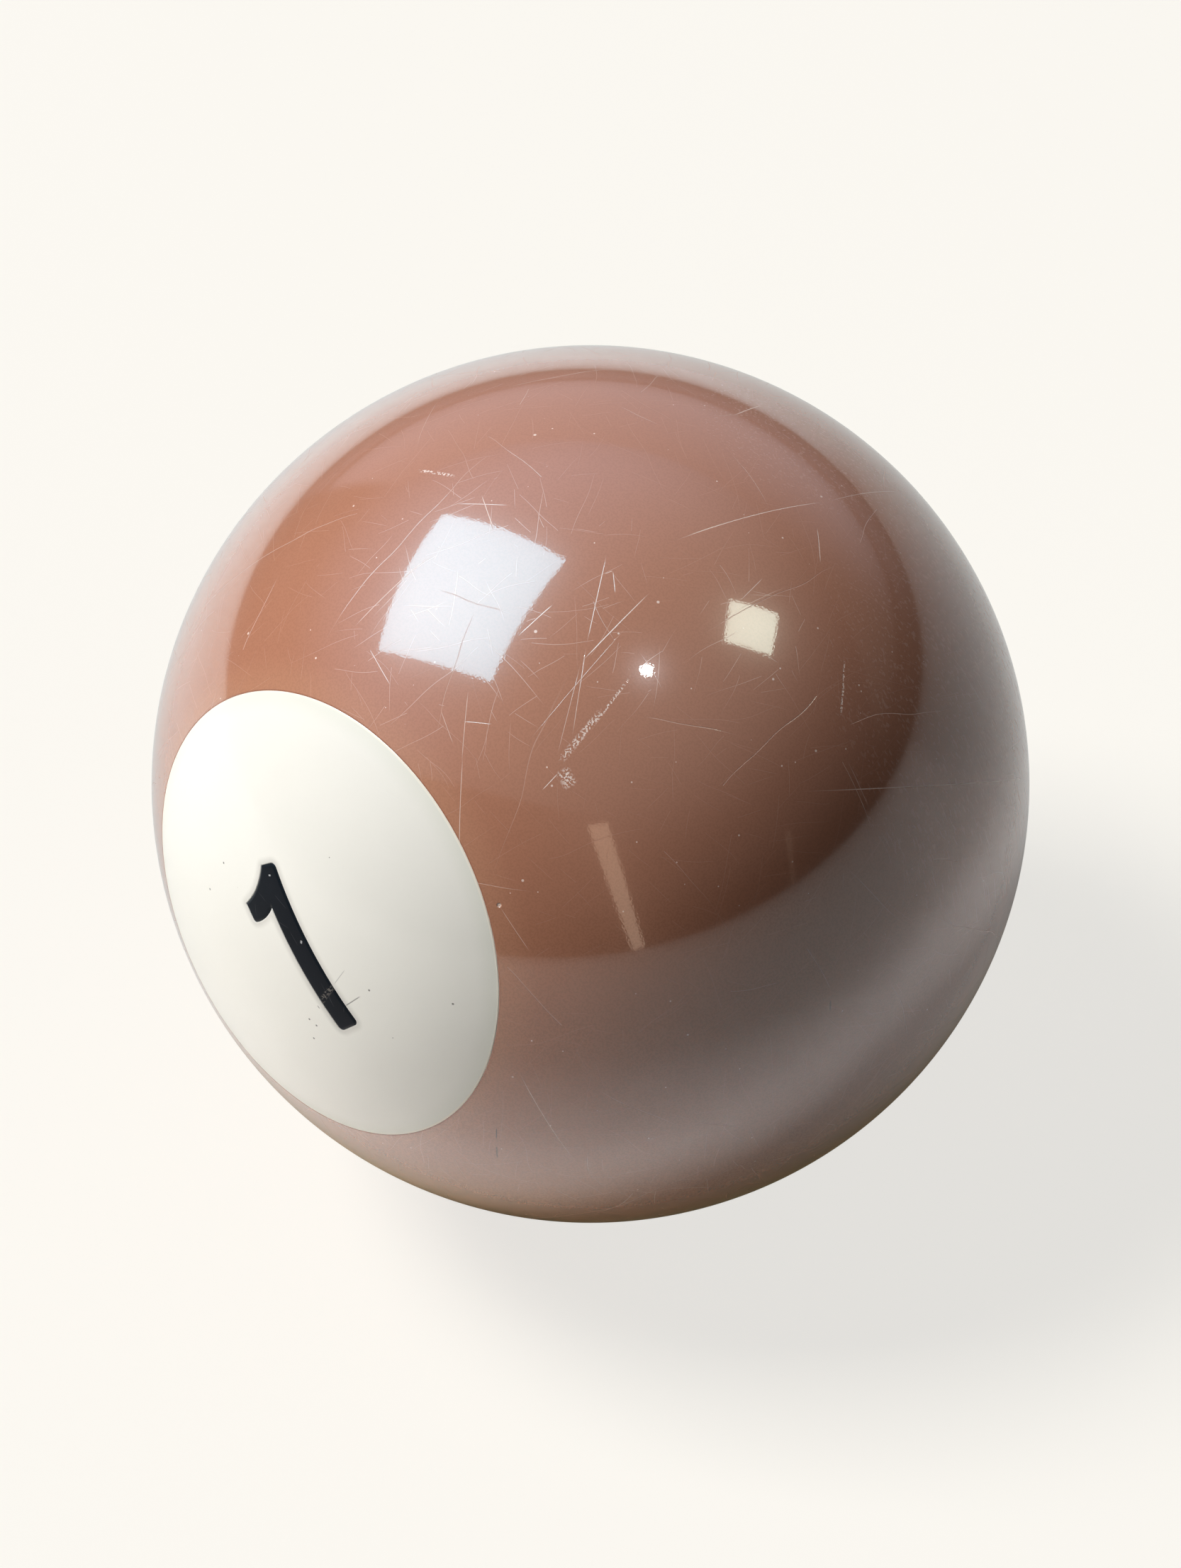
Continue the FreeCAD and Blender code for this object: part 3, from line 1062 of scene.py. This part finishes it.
def make_stage():
    under_ball = -RADIUS - 0.05 * MM
    seen_by(disc_mesh("mirrored_sheet", FLOOR_RADIUS, under_ball, mirrored_material()), glossy=True)
    seen_by(disc_mesh("bounce_sheet", SHEET_RADIUS, under_ball, bounce_material()), diffuse=True)
    seen_by(disc_mesh("floor", FLOOR_RADIUS, -RADIUS, floor_material()), camera=True)
    cream = plain_material("backdrop", "ShaderNodeEmission", CREAM)
    seen_by(dome_mesh("backdrop", FLOOR_RADIUS, cream), camera=True)


def post(graph, way, height, top, foot, width, widening):
    """An upright post in the room, between two directions. Its half width, as a share of its distance,
    is width at the floor and grows by widening towards the zenith."""
    plane = direction(*top).cross(direction(*foot)).normalized()
    gap = graph.math("ABSOLUTE", graph.vector("DOT_PRODUCT", way, tuple(plane)))
    reach = graph.math("MULTIPLY_ADD", height, widening, width)
    beside = graph.fade(graph.math("SUBTRACT", gap, reach), 0.006, -0.006)
    top_height = math.sin(math.radians(top[1]))
    below = graph.fade(height, top_height + 0.01, top_height - 0.01)
    before = graph.math("GREATER_THAN", graph.vector("DOT_PRODUCT", way, tuple(direction(*foot))), 0.0)
    return graph.math("MULTIPLY", graph.math("MULTIPLY", beside, below), before)


RAIL_HEIGHT = 0.105          # the sine of how far it is above the horizon


def make_room():
    """The dim room that the ball mirrors, as the world's background."""
    world = bpy.data.worlds.new("room")
    bpy.context.scene.world = world
    world.cycles_visibility.diffuse = False
    world.use_nodes = True
    graph = Graph(world.node_tree)
    way = graph.node("ShaderNodeTexCoord").outputs["Generated"]
    height = graph.node("ShaderNodeSeparateXYZ", {"Vector": way}).outputs["Z"]
    # The back wall ends at a straight top edge and at a corner, and is bright at its left
    ahead = graph.vector("DOT_PRODUCT", way, (-0.5, 0.866, 0.0))
    rise = graph.math("DIVIDE", height, graph.math("MAXIMUM", ahead, 0.001))
    below_top = graph.fade(rise, 0.79, 0.75)
    past_corner = graph.fade(graph.vector("DOT_PRODUCT", way, (0.225, 0.974, 0.0)), 0.0, 0.05)
    wall = graph.math("MULTIPLY", below_top, past_corner)
    leftward = graph.vector("DOT_PRODUCT", way, tuple(direction(-140, 0)))
    at_left = graph.fade(leftward, 0.4, 0.9)
    wall_shade = graph.mix(at_left, colour(0.25, 0.22, 0.20), colour(0.72, 0.70, 0.80))
    sideways = graph.vector("DOT_PRODUCT", way, tuple(direction(-95, 0)))
    at_left = graph.fade(sideways, -0.3, 0.6)
    ceiling = graph.mix(at_left, colour(0.62, 0.60, 0.58), colour(0.95, 1.15, 1.50))
    ceiling = graph.mix(graph.fade(height, 0.3, 0.8), colour(0.12, 0.11, 0.11), ceiling)
    shade = graph.mix(wall, ceiling, wall_shade)
    # The front wall is dark and ends in a straight top edge too
    front = graph.vector("DOT_PRODUCT", way, tuple(direction(17, 0)))
    front_rise = graph.math("DIVIDE", height, graph.math("MAXIMUM", front, 0.001))
    beside_front = graph.fade(graph.vector("DOT_PRODUCT", way, tuple(direction(107, 0))), 0.55, 0.1)
    front_wall = graph.math("MULTIPLY", graph.fade(front_rise, 0.84, 0.80), beside_front)
    shade = graph.mix(graph.math("MULTIPLY", front_wall, 0.8), shade, colour(0.08, 0.075, 0.07))
    # It's darker towards the floor, widely so in front, and has a dark rail low on the back wall
    towards_back = graph.fade(ahead, 0.1, 0.6)
    low_front = graph.fade(height, 0.02, 0.30, 0.10, 1.0)
    low_back = graph.fade(height, 0.0, 0.24, 0.15, 1.0)
    off_rail = graph.math("ABSOLUTE", graph.math("SUBTRACT", height, RAIL_HEIGHT))
    rail = graph.fade(off_rail, 0.012, 0.025, 0.45, 1.0)
    low_back = graph.math("MULTIPLY", low_back, rail)
    low = graph.node("ShaderNodeMix", {0: towards_back, 2: low_front, 3: low_back}).outputs[0]
    posts = graph.largest([
        post(graph, way, height, (48.5, 33), (54, -4), 0.028, 0.03),
        graph.math("MULTIPLY", post(graph, way, height, (97, 11), (92, -5), 0.012, 0.0), 0.3),
    ])
    low = graph.math("MAXIMUM", low, posts)
    shade = graph.mix(posts, shade, colour(2.6, 1.9, 1.4))
    background = graph.node("ShaderNodeBackground", {"Color": shade, "Strength": low})
    graph.node("ShaderNodeOutputWorld", {"Surface": background.outputs[0]})


def make_lights():
    ceiling_panel("window", WINDOW_CORNERS, (5.6, 9.4, 11.2))
    ceiling_panel("hatch", HATCH_CORNERS, (8.8, 9.9, 8.4))
    ceiling_lamp("lamp", LAMP_PLACE, LAMP_SIZE, (130, 135, 140))
    soft_light("key", -56, 60, (1.28, 1.28, 1.28))
    soft_light("front_fill", -30, -8, (0.23, 0.23, 0.23))
    soft_light("back_fill", 180, 4, (0.12, 0.12, 0.12))


# ----------------------------------------
# Put together
# ----------------------------------------
make_camera()
body_mesh = revolve(body_profile(), BODY_AROUND)
sides = {"front": (LAID_DOWN, 1), "back": (TURNED_TO_BACK, 2)}
pieces = {"ball_body": new_piece("body_casting", *body_mesh, LAID_DOWN, body_resin())}
for side, (axes, seed) in sides.items():
    resin = disc_resin("disc_resin_" + side, axes, seed)
    pieces["number_disc_" + side] = make_disc("disc_" + side, axes, resin)
    resin = numeral_resin("numeral_resin_" + side, axes, seed)
    pieces["numeral_" + side] = make_numeral("inlay_" + side, axes, resin)
for node, piece in pieces.items():
    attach(piece, "root")
    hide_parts(node)
make_stage()
make_room()
make_lights()
bpy.context.scene.view_settings.view_transform = "Standard"
